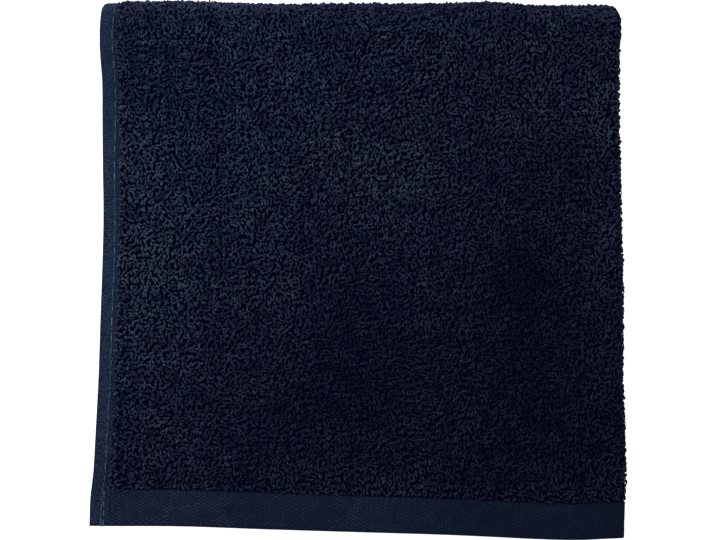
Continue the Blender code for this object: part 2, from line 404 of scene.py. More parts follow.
class TowelColourSettings(bpy.types.PropertyGroup):
    """Colours of the yarns, with the painted shade of the pile's roots and of the cloth between the
    loops.
    """

    pile_light: colour_property("Pile crest", "Navy of the loops' crests", (0.069, 0.091, 0.148))
    # The pile's painted shade: the dark that stands in for shade deep between the loops
    pile_dark: colour_property("Pile root", "Navy between the loops", (0.0041, 0.0070, 0.043))
    hem_light: colour_property("Hem floats", "Navy of the hems' raised yarns", (0.029, 0.0435, 0.082))
    hem_dark: colour_property("Hem ground", "Navy of the hems' sunken yarns", (0.003, 0.010, 0.034))
    welt: colour_property("Welt", "Colour of the yarn under the stitches", (0.038, 0.064, 0.128))
    thread: colour_property("Thread", "Colour of the sewing thread", (0.085, 0.120, 0.200))


class TowelStageSettings(bpy.types.PropertyGroup):
    """The floor, the lights and the camera."""

    floor: colour_property("Floor", "Colour of the floor", (0.92, 0.92, 0.92))
    floor_glow: measure("Light table", "Light that comes through the floor", 1.0, "NONE")
    key_power: measure("Key light", "Power of the light on the left", 1.55, "POWER")
    fill: measure("Fill", "Strength of the light from all round", 0.315, "NONE")
    camera_height: measure("Camera height", "Camera above the towel's top", 1.892)
    lens: measure("Lens", "Focal length", 200.0, "CAMERA")


# ---- meshes


def finish_piece(piece, material):
    """Gives a piece its material and smooth shading, and attaches it to its body."""
    piece.data.materials.append(material)
    piece.data.shade_smooth()
    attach(piece, BODY)


def fill(rows, name, values, kind=np.float32):
    """Sets one value in each row of a mesh's data."""
    rows.foreach_set(name, values.astype(kind).ravel())


def store(mesh, name, values):
    """Keeps a number at each point, for the materials."""
    fill(mesh.attributes.new(name, "FLOAT", "POINT").data, "value", values)


def mesh_object(name, points, faces, face_uv):
    """An object from points and arrays of faces that each have the same number of corners."""
    mesh = bpy.data.meshes.new(name)
    corners = np.concatenate([part.ravel() for part in faces])
    sizes = np.concatenate([np.full(len(part), part.shape[1]) for part in faces])
    mesh.vertices.add(len(points))
    fill(mesh.vertices, "co", points)
    mesh.loops.add(len(corners))
    fill(mesh.loops, "vertex_index", corners, np.int32)
    mesh.polygons.add(len(sizes))
    fill(mesh.polygons, "loop_start", np.cumsum(sizes) - sizes, np.int32)
    fill(mesh.uv_layers.new(name="OFBake").uv, "vector", np.concatenate(face_uv))
    mesh.update(calc_edges=True)
    mesh.validate()
    piece = bpy.data.objects.new(name, mesh)
    bpy.context.scene.collection.objects.link(piece)
    return piece


# Shapes of loops: from root to root, up, and how far they bend and lean
LOOP_SHAPE = "length height bend lean"
LOOP_SHAPES = table(
    LOOP_SHAPE,
    (0.0021, 0.00105, 0.00040, 0.0003),
    (0.0018, 0.00090, -0.00035, 0.0005),
    (0.0026, 0.00080, 0.00065, 0.0000),
    (0.0015, 0.00125, 0.00015, -0.0004),
    (0.0024, 0.00075, -0.00060, 0.0002),
    (0.0019, 0.00115, 0.00025, -0.0005),
)

# Depth of the roots, least height over the floor, and the empty rim of a loop's square on the map
ROOT_DEPTH = 0.00055
FLOOR_CLEARANCE = 0.0001
MAP_MARGIN = 0.05

# Places along a loop from -1 to 1, with their shares of its height and thickness. Buried roots have
# no rise.
KNOT = "along rise thick"
FULL_LOOP = table(
    KNOT,
    (-1.00, None, 0.0),
    (-0.70, 0.62, 0.95),
    (0.00, 1.00, 1.0),
    (0.70, 0.56, 0.95),
    (1.00, None, 0.0),
)
FLAT_LOOP = table(
    KNOT,
    (-1.00, None, 0.0),
    (-0.50, 1.00, 1.0),
    (0.50, 1.00, 1.0),
    (1.00, None, 0.0),
)


def loop_points(shape, knots, sides, yarn):
    """Points of one loop: a bent arch of yarn, pointed at its two buried roots."""
    p = np.array([knot.along for knot in knots])
    rise = np.array([-ROOT_DEPTH if knot.rise is None else knot.rise * shape.height for knot in knots])
    crest = np.clip(rise / shape.height, 0, 1)
    path = np.stack([p * shape.length / 2, shape.bend * (1 - p * p) + shape.lean * crest, rise], -1)
    path[:, 1] -= shape.bend / 2
    tangent = unit(np.gradient(path, axis=0))
    beside = unit(np.cross((0.0, 0.0, 1.0), tangent))
    above = np.cross(tangent, beside)
    points = [path[:1]]
    for k in range(1, len(knots) - 1):
        turn = math.tau * (np.arange(sides) + 0.5) / sides
        ring = np.cos(turn)[:, None] * beside[k] + np.sin(turn)[:, None] * above[k]
        points.append(path[k] + ring * knots[k].thick * yarn / 2)
    points.append(path[-1:])
    return np.concatenate(points)


def loop_faces(rings, sides):
    """Quads and tip triangles of one loop, and the places of their corners on a map of one square."""
    quads, quad_map, tips, tip_map = [], [], [], []

    def corner(ring, side):
        return 1 + ring * sides + side % sides

    def spot(ring, side):
        return side / sides, (ring + 1) / (rings + 1)

    for ring in range(rings - 1):
        for side in range(sides):
            places = ((ring, side), (ring + 1, side), (ring + 1, side + 1), (ring, side + 1))
            quads.append([corner(*place) for place in places])
            quad_map.append([spot(*place) for place in places])
    for tip, tip_ring, ring, turn in ((0, -1, 0, 0), (1 + rings * sides, rings, rings - 1, 1)):
        for side in range(sides):
            first, second = side + turn, side + 1 - turn
            tips.append([tip, corner(ring, first), corner(ring, second)])
            tip_map.append([spot(tip_ring, side + 0.5), spot(ring, first), spot(ring, second)])
    return (np.array(quads), np.array(tips)), (np.array(quad_map), np.array(tip_map))


def loops_object(name, places, frames, shapes, knots, sides, yarn, scale, shade):
    """One joined mesh of many loops: copies of the shapes, scaled, turned and placed, and pressed flat
    where they would reach the floor."""
    point, ahead, beside, out = frames
    templates = np.stack([loop_points(shape, knots, sides, yarn) for shape in shapes])
    local = templates[places] * scale[:, None, :]
    points = point[:, None, :] + sum(
        local[:, :, k, None] * axis[:, None, :] for k, axis in enumerate((ahead, beside, out))
    )
    points[..., 2] = np.maximum(points[..., 2], FLOOR_CLEARANCE)
    faces, maps = loop_faces(len(knots) - 2, sides)
    count, size = local.shape[:2]
    columns = math.ceil(math.sqrt(count))
    cell = np.stack([np.arange(count) % columns, np.arange(count) // columns], -1)
    all_faces, all_maps = [], []
    for part, part_map in zip(faces, maps):
        moved = part + size * np.arange(count)[:, None, None]
        all_faces.append(moved.reshape(-1, part.shape[1]))
        spots = MAP_MARGIN + (1 - 2 * MAP_MARGIN) * part_map.reshape(-1, 2)
        all_maps.append(((cell[:, None, :] + spots) / columns).reshape(-1, 2))
    piece = mesh_object(name, points.reshape(-1, 3), all_faces, all_maps)
    crest = np.clip(templates[..., 2] / max(shape.height for shape in shapes), 0, 1)
    # Each loop's tone: random, with the painted light and shade of its place
    store(piece.data, "yarn_shade", np.repeat(shade, size))
    store(piece.data, "crest", crest[places])
    return piece


# ---- materials

# Matt cotton, with its clouds and fibres in waves a metre, and its relief's strength and depth
SPECULAR = 0.03
SHEEN = 0.03
SHEEN_TINT = (0.45, 0.55, 0.85, 1.0)
CLOUD_SCALE = 28.0
NOISE_ROUGHNESS = 0.6
Finish = namedtuple("Finish", "roughness sheen_roughness fibre_scale relief relief_depth")
LOOP_FINISH = Finish(0.9, 0.5, 2600.0, 0.2, 0.0002)
WOVEN_FINISH = Finish(0.85, 0.4, 3200.0, 0.6, 0.00012)
YARN_FINISH = Finish(0.75, 0.4, 3600.0, 0.4, 0.0001)


def add_node(tree, kind, **settings):
    node = tree.nodes.new(kind)
    for name, value in settings.items():
        setattr(node, name, value)
    return node


def feed(node, values):
    """Sets inputs of a node: a socket is linked, and anything else is a value."""
    for name, value in values.items():
        if isinstance(value, bpy.types.NodeSocket):
            node.id_data.links.new(value, node.inputs[name])
        else:
            node.inputs[name].default_value = value


def maths(operation, first, second=0.0):
    """A Math node on a socket and a socket or number. Returns its output."""
    node = add_node(first.id_data, "ShaderNodeMath", operation=operation)
    feed(node, {0: first, 1: second})
    return node.outputs["Value"]


def times(first, second):
    return maths("MULTIPLY", first, second)


def plus(first, second):
    return maths("ADD", first, second)


def opaque(colour):
    return (*colour, 1.0)


def colour_mix(factor, first, second):
    """A colour mix of two sockets or colours. Returns its output."""
    node = add_node(factor.id_data, "ShaderNodeMix", data_type="RGBA")
    low, high = (k for k, socket in enumerate(node.inputs) if socket.type == "RGBA")
    feed(node, {"Factor": factor, low: first, high: second})
    return [socket for socket in node.outputs if socket.type == "RGBA"][0]


def cloudy(cloud, depth, mean=1.0):
    """A shade that varies in clouds round a mean. Returns its output."""
    return plus(times(cloud, depth), mean - depth / 2)


def toned(tone, colour):
    """A colour at a tone: black at 0, and the colour itself at 0.5. Returns its output."""
    return colour_mix(tone, opaque((0, 0, 0)), opaque(min(2 * part, 1) for part in colour))


def fibre_group():
    """Node group: cloudy shade of the yarn over the towel, and the fine relief of its fibres."""
    group = bpy.data.node_groups.get("Cotton fibre")
    if group:
        return group
    group = bpy.data.node_groups.new("Cotton fibre", "ShaderNodeTree")
    inside = add_node(group, "NodeGroupInput")
    outside = add_node(group, "NodeGroupOutput")
    place = add_node(group, "ShaderNodeTexCoord")
    for name, scale, detail in (("Cloud", CLOUD_SCALE, 3.0), ("Fibre", LOOP_FINISH.fibre_scale, 2.0)):
        size = group.interface.new_socket(f"{name} Scale", in_out="INPUT", socket_type="NodeSocketFloat")
        size.default_value = scale
        group.interface.new_socket(name, in_out="OUTPUT", socket_type="NodeSocketFloat")
        noise = add_node(group, "ShaderNodeTexNoise")
        feed(noise, {"Detail": detail, "Roughness": NOISE_ROUGHNESS})
        feed(noise, {"Vector": place.outputs["Object"], "Scale": inside.outputs[f"{name} Scale"]})
        feed(outside, {name: noise.outputs["Fac"]})
    return group


def new_material(name, finish):
    """A cotton material. Returns it with its nodes, and its clouds and fibres."""
    material = bpy.data.materials.new(name)
    material.use_nodes = True
    tree = material.node_tree
    shader = tree.nodes["Principled BSDF"]
    feed(shader, {"Roughness": finish.roughness, "Metallic": 0.0, "Specular IOR Level": SPECULAR})
    feed(shader, {"Sheen Weight": SHEEN, "Sheen Roughness": finish.sheen_roughness})
    feed(shader, {"Sheen Tint": SHEEN_TINT})
    fibre = add_node(tree, "ShaderNodeGroup", node_tree=fibre_group())
    feed(fibre, {"Fibre Scale": finish.fibre_scale})
    return material, tree, fibre.outputs


def attribute(tree, name):
    return add_node(tree, "ShaderNodeAttribute", attribute_name=name).outputs["Fac"]


def finish_material(material, colour, height, finish):
    """Gives a material its colour and its relief, and returns it."""
    tree = material.node_tree
    bump = add_node(tree, "ShaderNodeBump")
    feed(bump, {"Strength": finish.relief, "Distance": finish.relief_depth, "Height": height})
    feed(tree.nodes["Principled BSDF"], {"Base Color": colour, "Normal": bump.outputs["Normal"]})
    return material


# Painted shade in the pile: how far a mean crest is from its root's painted shade to the palest colour,
# how narrow it is, and its clouds
CREST_SHADE = 0.4
CREST_SHARPNESS = 1.2
LOOP_CLOUDS = 1.8

# How much the roots' painted shade follows their loop's tone, and how dark the cloth between them is
# painted beside them
ROOTS_FOLLOW = 0.5
SHADE_BETWEEN_ROOTS = 0.55


def loop_material(colours):
    """Navy loop yarn: painted shade darkens it towards the roots, lighter at the crests, a little
    different in each loop.
    """
    material, tree, fibre = new_material("navy_loop_yarn", LOOP_FINISH)
    crest, shade = attribute(tree, "crest"), attribute(tree, "yarn_shade")
    variation = times(cloudy(fibre["Cloud"], LOOP_CLOUDS), shade)
    lightness = times(times(maths("POWER", crest, CREST_SHARPNESS), CREST_SHADE), variation)
    # The roots are painted dark where shade falls deep in the pile
    root = toned(plus(times(shade, ROOTS_FOLLOW / 2), (1 - ROOTS_FOLLOW) / 2), colours.pile_dark)
    colour = colour_mix(lightness, root, opaque(colours.pile_light))
    return finish_material(material, colour, fibre["Fibre"], LOOP_FINISH)


# The plain weave: distances between its yarns across and along the cloth, its tone and its fibres
WARP_STEP = 0.0014
WEFT_STEP = 0.0017
WEAVE_TONE = 0.75
WEAVE_FIBRE = 0.5


def weave_material(colours):
    """Flat woven navy cotton of the hems, and the ground cloth under the pile in painted shade."""
    material, tree, fibre = new_material("navy_woven_hem", WOVEN_FINISH)
    cloth = add_node(tree, "ShaderNodeUVMap", uv_map="cloth")
    parts = add_node(tree, "ShaderNodeSeparateXYZ")
    feed(parts, {"Vector": cloth.outputs["UV"]})
    warp = maths("SINE", times(parts.outputs["X"], math.tau / WARP_STEP))
    weft = maths("SINE", times(parts.outputs["Y"], math.tau / WEFT_STEP))
    weave = plus(times(times(warp, weft), 0.5), 0.5)
    tone = times(times(weave, cloudy(fibre["Cloud"], 1.0)), WEAVE_TONE)
    woven = colour_mix(tone, opaque(colours.hem_dark), opaque(colours.hem_light))
    # The cloth between the loops is painted shade, darker than the roots
    shade_between_loops = opaque(SHADE_BETWEEN_ROOTS * part for part in colours.pile_dark)
    colour = colour_mix(attribute(tree, "hem"), shade_between_loops, woven)
    relief = plus(weave, times(fibre["Fibre"], WEAVE_FIBRE))
    return finish_material(material, colour, relief, WOVEN_FINISH)


def yarn_material(name, colour):
    """Smooth yarn that lies on the hems: the floats, the welt and the sewing thread."""
    material, tree, fibre = new_material(name, YARN_FINISH)
    tone = times(cloudy(fibre["Cloud"], 0.5, mean=0.5), attribute(tree, "yarn_shade"))
    return finish_material(material, toned(tone, colour), fibre["Fibre"], YARN_FINISH)


# ---- the cloth and its hems

# The cloth's grid: places at a hem's round edge, its share of the thickness, the step to the pile, and
# numbers of steps. Those along the cloth go by the radius of the turn, or 0 for a flat run.
EDGE_STEPS = (0.0, 0.0003, 0.0009)
EDGE_SHARE = 0.35
HEM_STEP = 0.0010
HEM_STEPS = 5
PLY_STEPS = 30
SIDE_TURN_STEPS = 5
STRETCH_STEPS = {0: 28, CROSS_TURN_RADIUS: 9, OUTER_TURN_RADIUS: 18}

# Each kind of draw starts this far after the pile's seed
SEWING_SEED, SWIRL_SEED, WEAVE_SEED, SLANT_SEED, TUFT_SEED = 1, 2, 3, 4, 5

# Raised yarns on the hems: how tall for their width and how far off the cloth they are. Each is scaled
# along, across and up between the least and the most.
Strand = namedtuple("Strand", "length yarn tall lift", defaults=(0.0,))
LENGTHWISE = math.pi / 2
STRAND_RISE = 0.0001
STRAND_SIDES = 4
STRAND_LEAST = (0.75, 0.80, 0.75)
STRAND_MOST = (1.20, 1.15, 1.25)
STRAND_TONES = (0.75, 1.25)
FLOAT_TALL = 0.42
WELT_TALL = 1.0
THREAD_TALL = 1.5

# The bare edge of the end hem, and how far yarns wander from their places
HEM_PLAIN = 0.0016
HEM_WANDER = 0.00008

# The end hem's diamonds: how they lean in patches, how much flatter they are at the fold, their tone and
# the painted shade that darkens it towards the fold, away from the key light, also on the weave, how far
# they go round it, and their patchy tone
SLANT = 0.8
SLANT_SIZE = 0.009
PRESSED_AT_FOLD = 0.5
HEM_PALE = 1.12
HEM_PAINTED_SHADE = 0.58
GROUND_PAINTED_SHADE = 0.48
OVER_THE_FOLD = 0.0020
PATCHY = 0.25
PATCH_SIZE = 0.009

# The side hem's floats: the bare rim, the share that is missing, how unevenly they lean, and how much
# paler they are towards the edge
RIM = 0.0012
MISSED = 0.15
SIDE_SLANT = 0.7
RIM_SHADE = 0.45

# The side hem's seam: its distance from the edge, where it drifts inwards, its second row at the end hem,
# how the welt's yarns overlap, how uneven the gaps are, how much of the hem's painted light it takes, and
# its length
SEAM = 0.0060
SEAM_DRIFT = 0.0007
SEAM_DRIFT_FROM = 0.17
SEAM_DRIFT_LENGTH = 0.03
SECOND_SEAM = 0.0011
WELT_OVERLAP = 0.8
STITCH_WANDER = 1 / 3
SEAM_PAINTED_LIGHT = 0.4
SEWN = sum(stretch.length for stretch in STRETCHES[:4])

# Painted light on the side hem: how much paler it is painted at distances along the cloth, where the key
# light falls off towards the front
SIDE_HEM_PAINTED_LIGHT = table(
    "t shade",
    (0.002, 2.20),
    (0.012, 2.00),
    (0.018, 1.00),
    (0.030, 1.35),
    (0.055, 1.85),
    (0.100, 1.80),
    (0.140, 1.65),
    (0.165, 1.40),
    (0.190, 1.00),
    (0.210, 1.00),
    (0.240, 1.20),
)


def steps(length, count):
    """The ends of even steps over a length."""
    return np.linspace(0, length, count + 1)[1:]


def hem_stations(width):
    """Distances from a hem's edge: close steps for its round edge, then even ones to the pile."""
    flat = EDGE_STEPS[-1] + steps(width - HEM_STEP - EDGE_STEPS[-1], HEM_STEPS)
    return np.concatenate([EDGE_STEPS, flat, [width]])


def across_stations():
    """Distances across the cloth at which its grid has lines."""
    hem = hem_stations(SIDE_HEM)
    ply = SIDE_HEM + steps(PLY_RUN, PLY_STEPS)
    turn = SIDE_HEM + PLY_RUN + steps(SIDE_TURN_RADIUS * math.pi / 2, SIDE_TURN_STEPS)
    half = np.concatenate([hem, [SIDE_HEM + HEM_STEP], ply, turn])
    return np.concatenate([half, CLOTH_WIDTH - half[-2::-1]])


def along_stations():
    """Distances along the cloth at which its grid has lines."""
    stations = list(hem_stations(END_HEM))
    for stretch, begin in list(stretches())[1:-1]:
        stations += list(begin + steps(stretch.length, STRETCH_STEPS[stretch.radius]))
    stations += list(CLOTH_LENGTH - hem_stations(END_HEM)[-2::-1])
    return np.array(stations)


def edge_distance(s, t):
    """Distances to the nearer side edge and the nearer end edge."""
    return np.minimum(s, CLOTH_WIDTH - s), np.minimum(t, CLOTH_LENGTH - t)


def half_thickness(s, t, cloth):
    """Half the thickness of the woven cloth, round at the hems' edges."""
    side, end = edge_distance(s, t)
    in_side = 1 - soft_step((side - SIDE_HEM + HEM_STEP) / HEM_STEP)
    in_end = 1 - soft_step((end - END_HEM + HEM_STEP) / HEM_STEP)
    half = cloth.ground / 2 + (cloth.side_hem - cloth.ground) / 2 * in_side
    half = np.maximum(half, cloth.ground / 2 + (cloth.end_hem - cloth.ground) / 2 * in_end)
    edge = np.clip(np.minimum(side, end) / EDGE_STEPS[-1], 0, 1)
    return half * (EDGE_SHARE + (1 - EDGE_SHARE) * np.sqrt(1 - (1 - edge) ** 2))


class TOWEL_OT_ground_cloth(bpy.types.Operator):
    """Lays the woven cloth on its folds, with its flat hems"""

    bl_idname = "towel.ground_cloth"
    bl_label = "Ground cloth"

    def execute(self, context):
        cloth = context.scene.towel_cloth
        across, along = across_stations(), along_stations()
        bpy.ops.mesh.primitive_grid_add(
            x_subdivisions=len(across) - 1, y_subdivisions=len(along) - 1, size=2
        )
        sheet = context.object
        sheet.name = "ground_cloth"
        mesh = sheet.data
        co = np.empty(len(mesh.vertices) * 3, np.float32)
        mesh.vertices.foreach_get("co", co)
        grid = (co.reshape(-1, 3)[:, :2] + 1) / 2 * (len(across) - 1, len(along) - 1)
        column, row = np.rint(grid).astype(int).T
        s, t = across[column], along[row]
        fill(mesh.vertices, "co", lay(s, t) + SHIFT)
        corner = np.empty(len(mesh.loops), np.int32)
        mesh.loops.foreach_get("vertex_index", corner)
        mesh.uv_layers[0].name = "cloth"
        fill(mesh.uv_layers["cloth"].uv, "vector", np.stack([s[corner], t[corner]], -1))
        side, end = edge_distance(s, t)
        in_side = 1 - soft_step((side - SIDE_HEM) / HEM_STEP)
        in_end = 1 - soft_step((end - END_HEM + HEM_STEP) / HEM_STEP)
        # Painted shade: the end hem is painted darker towards the fold, away from the key light
        in_end *= 1 - GROUND_PAINTED_SHADE * np.minimum(s / CLOTH_MIDDLE, 1)
        store(mesh, "hem", np.maximum(in_side, in_end))
        thickness = sheet.vertex_groups.new(name="thickness")
        shares = half_thickness(s, t, cloth) / (cloth.end_hem / 2)
        for index, share in enumerate(shares):
            thickness.add([index], float(share), "REPLACE")
        solidify = sheet.modifiers.new("ply", "SOLIDIFY")
        solidify.thickness = cloth.end_hem
        solidify.offset = 0.0
        solidify.use_even_offset = False
        solidify.vertex_group = "thickness"
        bpy.ops.object.modifier_apply(modifier="ply")
        finish_piece(sheet, weave_material(context.scene.towel_colours))
        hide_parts(NODE)
        return {"FINISHED"}


def strands_object(name, s, t, strand, material, shade, random, cloth, slant, pressed=1.0):
    """Yarns that lie on the hems' faces at places s, t, slanted from the crosswise direction."""
    point, across, along, out = cloth_frame(s, t)
    root = point + out * (half_thickness(s, t, cloth) + strand.lift)[:, None]
    frames = (root, *turned(across, along, slant), out)
    scale = random.uniform(STRAND_LEAST, STRAND_MOST, (len(s), 3))
    scale[:, 2] *= strand.tall * pressed
    shade = shade * random.uniform(*STRAND_TONES, len(s))
    shapes = table(LOOP_SHAPE, (strand.length, STRAND_RISE, 0.0, 0.0))
    places = np.zeros(len(s), int)
    piece = loops_object(
        name, places, frames, shapes, FLAT_LOOP, STRAND_SIDES, strand.yarn, scale, shade
    )
    finish_piece(piece, material)


def staggered(s_from, s_to, t_from, t_to, width, height, random):
    """Places of a weave's floats: rows that are set half a width from their neighbours."""
    rows = np.arange(t_from, t_to, height)
    columns = np.arange(s_from, s_to, width)
    s = columns[None, :] + (np.arange(len(rows)) % 2)[:, None] * width / 2
    t = np.broadcast_to(rows[:, None], s.shape)
    return (part.ravel() + random.normal(0, HEM_WANDER, s.size) for part in (s, t))


class TOWEL_OT_hem_weave(bpy.types.Operator):
    """Weaves the diamonds of the end hem that shows, and the fine floats of the side hem"""

    bl_idname = "towel.hem_weave"
    bl_label = "Hem weave"

    def execute(self, context):
        cloth, seed = context.scene.towel_cloth, context.scene.towel_pile.seed
        random = np.random.default_rng(seed + WEAVE_SEED)
        material = yarn_material("navy_rib_yarn", context.scene.towel_colours.hem_light)
        s, t = staggered(
            SIDE_HEM, CLOTH_MIDDLE + OVER_THE_FOLD, HEM_PLAIN, END_HEM - HEM_STEP,
            cloth.diamond_width, cloth.diamond_height / 2, random,
        )
        patchy = 1 + PATCHY * ripples(s, t, PATCH_SIZE, seed)[0]
        # Painted shade: the diamonds darken towards the fold, away from the key light
        shade = patchy * (HEM_PALE - HEM_PAINTED_SHADE * s / CLOTH_MIDDLE)
        slant = SLANT * ripples(s, t, SLANT_SIZE, seed + SLANT_SEED)[0]
        pressed = 1 - PRESSED_AT_FOLD * s / CLOTH_MIDDLE
        strand = Strand(cloth.float_length, cloth.float_yarn, FLOAT_TALL)
        strands_object("hem_diamonds", s, t, strand, material, shade, random, cloth, slant, pressed)
        s, t = staggered(RIM, PILE_START, HEM_PLAIN, SEWN, cloth.weft_width, cloth.weft_height, random)
        woven = random.uniform(0, 1, len(s)) > MISSED
        s, t = s[woven], t[woven]
        # The side hem's floats take the hem's painted light along the cloth, and are paler towards the
        # edge
        shade = table_curve(SIDE_HEM_PAINTED_LIGHT, "shade", "t", t) * (1 + RIM_SHADE * soft_step(1 - s / SIDE_HEM))
        strand = Strand(cloth.weft_float, cloth.weft_yarn, FLOAT_TALL)
        slant = random.normal(0, SIDE_SLANT, len(s))
        strands_object("hem_side_weave", s, t, strand, material, shade, random, cloth, slant)
        return {"FINISHED"}


class TOWEL_OT_hem_stitches(bpy.types.Operator):
    """Sews the side hem with a line of long stitches over a pale welt"""

    bl_idname = "towel.hem_stitches"
    bl_label = "Side hem stitches"

    def execute(self, context):
        cloth, colours = context.scene.towel_cloth, context.scene.towel_colours
        random = np.random.default_rng(context.scene.towel_pile.seed + SEWING_SEED)

        def seam(t):
            drift = SEAM_DRIFT * soft_step((t - SEAM_DRIFT_FROM) / SEAM_DRIFT_LENGTH)
            return SEAM + drift + random.normal(0, HEM_WANDER, len(t))

        # The seam takes a share of the side hem's painted light
        def tone(t):
            return 1 + SEAM_PAINTED_LIGHT * (table_curve(SIDE_HEM_PAINTED_LIGHT, "shade", "t", t) - 1)

        t = np.arange(HEM_PLAIN, SEWN, cloth.stitch * WELT_OVERLAP)
        strand = Strand(cloth.stitch, cloth.welt, WELT_TALL)
        material = yarn_material("pale_welt_yarn", colours.welt)
        strands_object("hem_welt", seam(t), t, strand, material, tone(t), random, cloth, LENGTHWISE)
        t = np.arange(HEM_PLAIN, SEWN, cloth.stitch + cloth.stitch_gap)
        t += random.normal(0, STITCH_WANDER * cloth.stitch_gap, len(t))
        corner = np.arange(HEM_PLAIN, END_HEM, cloth.stitch)
        s = np.concatenate([seam(t), seam(corner) + SECOND_SEAM])
        t = np.concatenate([t, corner])
        strand = Strand(cloth.stitch, cloth.thread, THREAD_TALL, cloth.welt / 2)
        material = yarn_material("sewing_thread", colours.thread)
        strands_object("hem_stitches", s, t, strand, material, tone(t), random, cloth, LENGTHWISE)
        return {"FINISHED"}


# ---- the pile

# The pile begins just past the side hem, goes on round the fold and ends under it
PAST_THE_HEM = 0.0004
UNDER_THE_FOLD = 0.002
PILE_START = SIDE_HEM + PAST_THE_HEM
TURN_START = SIDE_HEM + PLY_RUN

# In the corner by the side hem the loops reach out over the end hem
CORNER_REACH = 0.0017
CORNER_WIDTH = 0.024
CORNER_SOFT = 0.008

# Random fields are sums of waves: how many, how far their periods spread, and how strong
RIPPLE_WAVES = 14
RIPPLE_SPREAD = (0.7, 1.3)
RIPPLE_SIZE = 0.6

# How far loops stand from even rows, the swirls in their headings and how single loops differ. Clumps
# are taller and paler, and flat loops have thicker yarn.
SCATTER = 0.42
ROW_START = 0.25
NAP_SWIRL = 0.030
SWIRL_TURN = 1.2
HEADING_SPREAD = 0.75
LOOP_SIZES = (0.86, 1.14)
LIFT_SPREAD = 0.12
TONE_SPREAD = 0.20
TONE_LIMITS = (0.5, 1.9)
CLUMP_LIFT = 0.25
CLUMP_SHADE = 0.25
FLAT_LOOP_YARN = 1.25

# Loops beside the seam look paler
BESIDE_SEAM = 0.4
BESIDE_SEAM_REACH = 0.0045

# The painted light and shade also counts this much for the height of the loops
NAP_HEIGHT = 0.4

# Uneven tufts, from handling: how far apart they are, and how much paler and taller
TUFTS = table(
    "period shade height",
    (0.0160, 0.27, 0.07),
    (0.0090, 0.20, 0.08),
    (0.0055, 0.22, 0.12),
)

# Painted light and shade of the pile: patches painted paler where light falls, and darker where shade
# falls in soft hollows and away from the key light
PAINTED_SHADING = table(
    SWELL,
    (-0.102, 0.008, 0.022, 0.058, 0, 0.74),
    (-0.042, 0.012, 0.015, 0.044, 12, 0.54),
    (-0.078, 0.046, 0.020, 0.036, 0, 0.22),
    (0.030, 0.040, 0.040, 0.022, -20, 0.30),
    (-0.046, 0.084, 0.026, 0.035, 0, 0.30),
    (0.004, 0.098, 0.030, 0.020, 0, 0.26),
    (0.108, 0.076, 0.018, 0.022, 0, 0.58),
    (-0.092, -0.055, 0.020, 0.024, 0, 0.32),
    (0.050, -0.070, 0.018, 0.018, 0, 0.20),
    (-0.006, -0.048, 0.046, 0.045, 10, -0.60),
    (-0.050, -0.075, 0.022, 0.032, 0, -0.30),
    (0.086, -0.064, 0.060, 0.060, 0, -0.66),
    (0.078, 0.004, 0.022, 0.030, 0, -0.60),
    (0.094, 0.046, 0.036, 0.018, 0, -0.28),
    (-0.076, 0.092, 0.032, 0.020, 0, -0.40),
    (-0.082, -0.060, 0.010, 0.010, 0, -0.45),
    (0.042, 0.015, 0.012, 0.012, 0, 0.24),
    (0.004, 0.002, 0.020, 0.016, 0, -0.12),
    (-0.068, 0.117, 0.024, 0.012, 0, 0.30),
    (-0.022, 0.096, 0.012, 0.012, 0, -0.22),
    (0.062, 0.076, 0.018, 0.016, 0, 0.10),
    (0.030, -0.090, 0.050, 0.012, 0, -0.18),
    (0.040, 0.123, 0.090, 0.006, 0, -0.25),
)

# The pile of each stretch: how many pieces it is cut into, its loops, and how high they stand. They
# are pressed lower round the folds, and flat underneath. On the side fold they are closer.
PILE_FIELD = "name stretch bands knots sides loft under"
PILE_FIELDS = table(
    PILE_FIELD,
    ("pile_top", "top", 4, FULL_LOOP, 4, 1.0, False),
    ("pile_back_fold", "back_fold", 1, FULL_LOOP, 4, 0.85, False),
    ("pile_front_fold", "front_fold", 1, FULL_LOOP, 3, 0.7, False),
    ("pile_under", "under", 1, FLAT_LOOP, 3, 1.0, True),
)
(SIDE_FOLD,) = table(PILE_FIELD, ("pile_side_fold", "", 1, FULL_LOOP, 3, 0.65, False))
SIDE_FOLD_PACKING = 1.6


def scattered(random, s_from, s_to, t_from, t_to, pitch_s, pitch_t):
    """Uneven rows of places over a stretch of the cloth."""
    rows = max(1, round((t_to - t_from) / pitch_t))
    columns = max(1, round((s_to - s_from) / pitch_s))
    column, row = np.meshgrid(np.arange(columns), np.arange(rows))
    column = column.ravel() + 0.5 * (row.ravel() % 2) + random.uniform(-SCATTER, SCATTER, rows * columns)
    row = row.ravel() + random.uniform(-SCATTER, SCATTER, rows * columns)
    s = s_from + (column + ROW_START) % columns / columns * (s_to - s_from)
    t = t_from + (row + 0.5) / rows * (t_to - t_from)
    return s, t


def ripples(s, t, period, seed):
    """A smooth random field over the cloth, mostly between -1 and 1, and its slopes across and along."""
    random = np.random.default_rng(seed)
    heading = random.uniform(0, math.tau, RIPPLE_WAVES)
    wave = math.tau / period * random.uniform(*RIPPLE_SPREAD, RIPPLE_WAVES)
    phase = random.uniform(0, math.tau, RIPPLE_WAVES)
    angle = s[:, None] * wave * np.cos(heading) + t[:, None] * wave * np.sin(heading) + phase
    weight = math.sqrt(2 / RIPPLE_WAVES) * RIPPLE_SIZE
    field = weight * np.sin(angle).sum(1)
    slope = weight * np.cos(angle) * wave
    return field, (slope * np.cos(heading)).sum(1), (slope * np.sin(heading)).sum(1)


